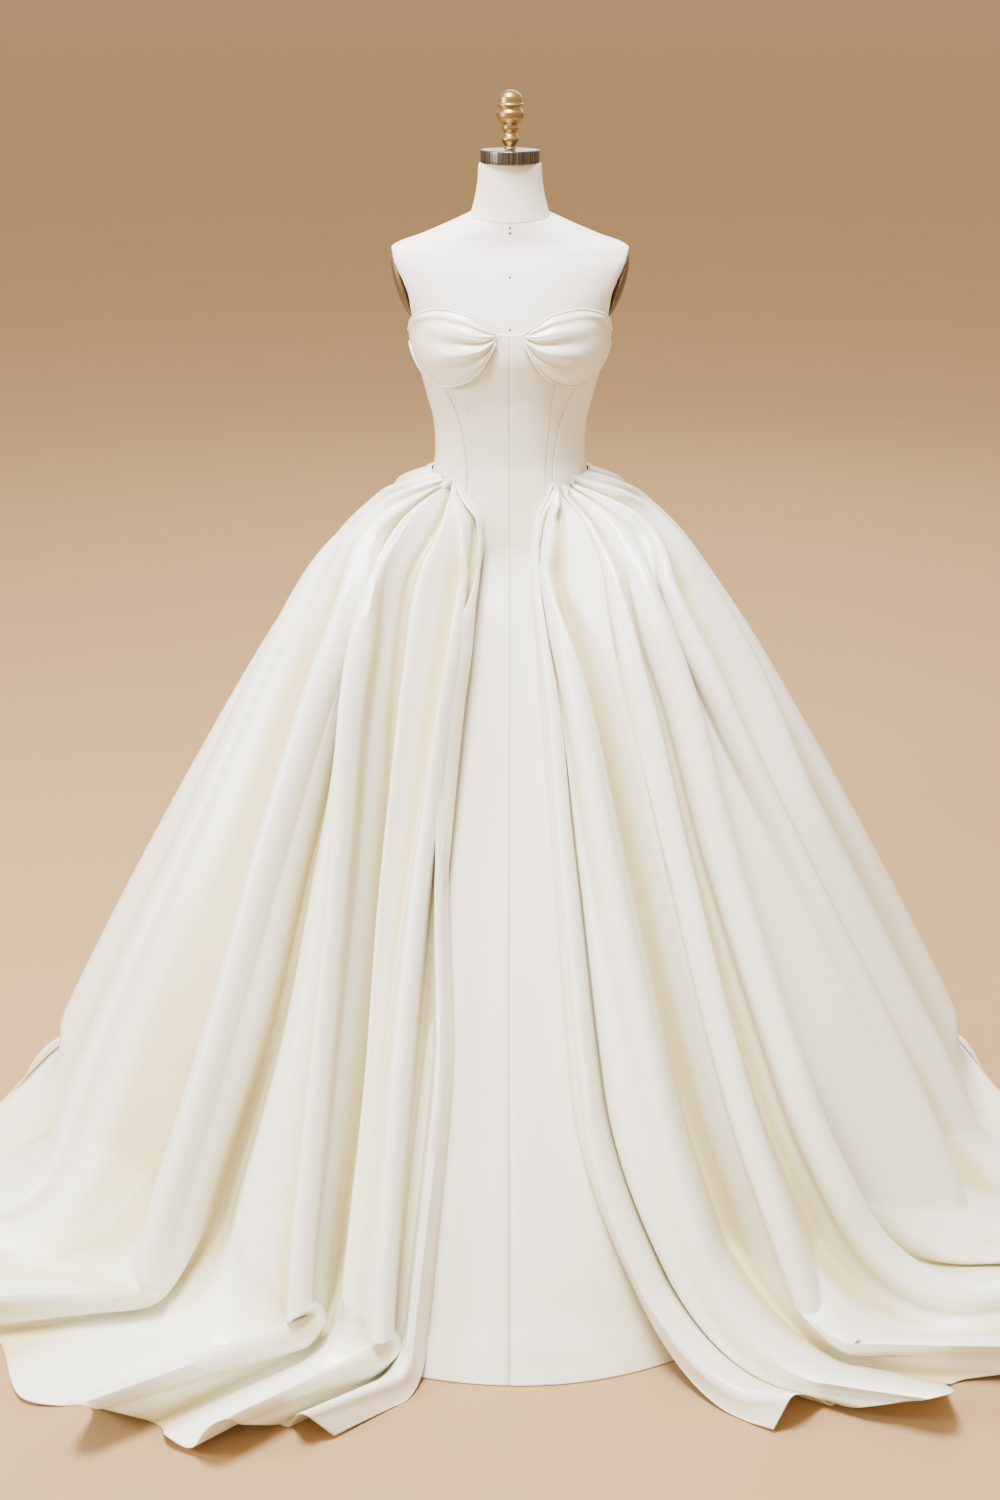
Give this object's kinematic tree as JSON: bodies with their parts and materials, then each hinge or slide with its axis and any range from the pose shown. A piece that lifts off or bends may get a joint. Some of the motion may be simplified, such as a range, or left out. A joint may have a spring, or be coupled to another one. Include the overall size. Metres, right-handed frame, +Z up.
{
  "type": "wedding dress on dress form",
  "caption": "Strapless ivory satin ball gown with gathered cups, a panelled bodice and a pleated train skirt, standing on a limbless dress form.",
  "frame": {"origin": "middle of the dress form's base, on the floor", "axes": "+Z up along the form's pole, -Y out of the gown's front, +X to the viewer's right of a person facing the front"},
  "size_m": [2.2167, 2.1928, 1.8128],
  "materials": {
    "ivory_satin": "duchess satin with a soft sheen",
    "form_linen": "matt plain weave",
    "brushed_steel": "brushed",
    "aged_brass": "worn polish",
    "arm_plate_bronze": "bronze paint"
  },
  "bodies": {
    "gown_on_form": {"arm_plate_left": "arm_plate_bronze", "arm_plate_right": "arm_plate_bronze", "bodice_back_left": "ivory_satin", "bodice_back_right": "ivory_satin", "bodice_side_back_left": "ivory_satin", "bodice_side_back_right": "ivory_satin", "bodice_side_front_left": "ivory_satin", "bodice_side_front_right": "ivory_satin", "bodice_side_left": "ivory_satin", "bodice_side_right": "ivory_satin", "centre_front_left": "ivory_satin", "centre_front_right": "ivory_satin", "cup_left": "ivory_satin", "cup_right": "ivory_satin", "finial": "aged_brass", "floor_base": "brushed_steel", "form_neck": "form_linen", "form_torso": "form_linen", "neck_cap": "brushed_steel", "pole": "brushed_steel", "skirt_back_left": "ivory_satin", "skirt_back_right": "ivory_satin", "skirt_side_left": "ivory_satin", "skirt_side_right": "ivory_satin", "zip_slider": "aged_brass", "zip_tape": "ivory_satin"},
    "pull_tab": {"zip_pull": "aged_brass"}
  },
  "joints": [
    {"name": "pull_tab_hinge", "type": "hinge", "parent": "gown_on_form", "child": "pull_tab", "pos_m": [0, 0.10437, 1.397], "axis": [1, 0, 0], "range_deg": [0, 170]}
  ]
}
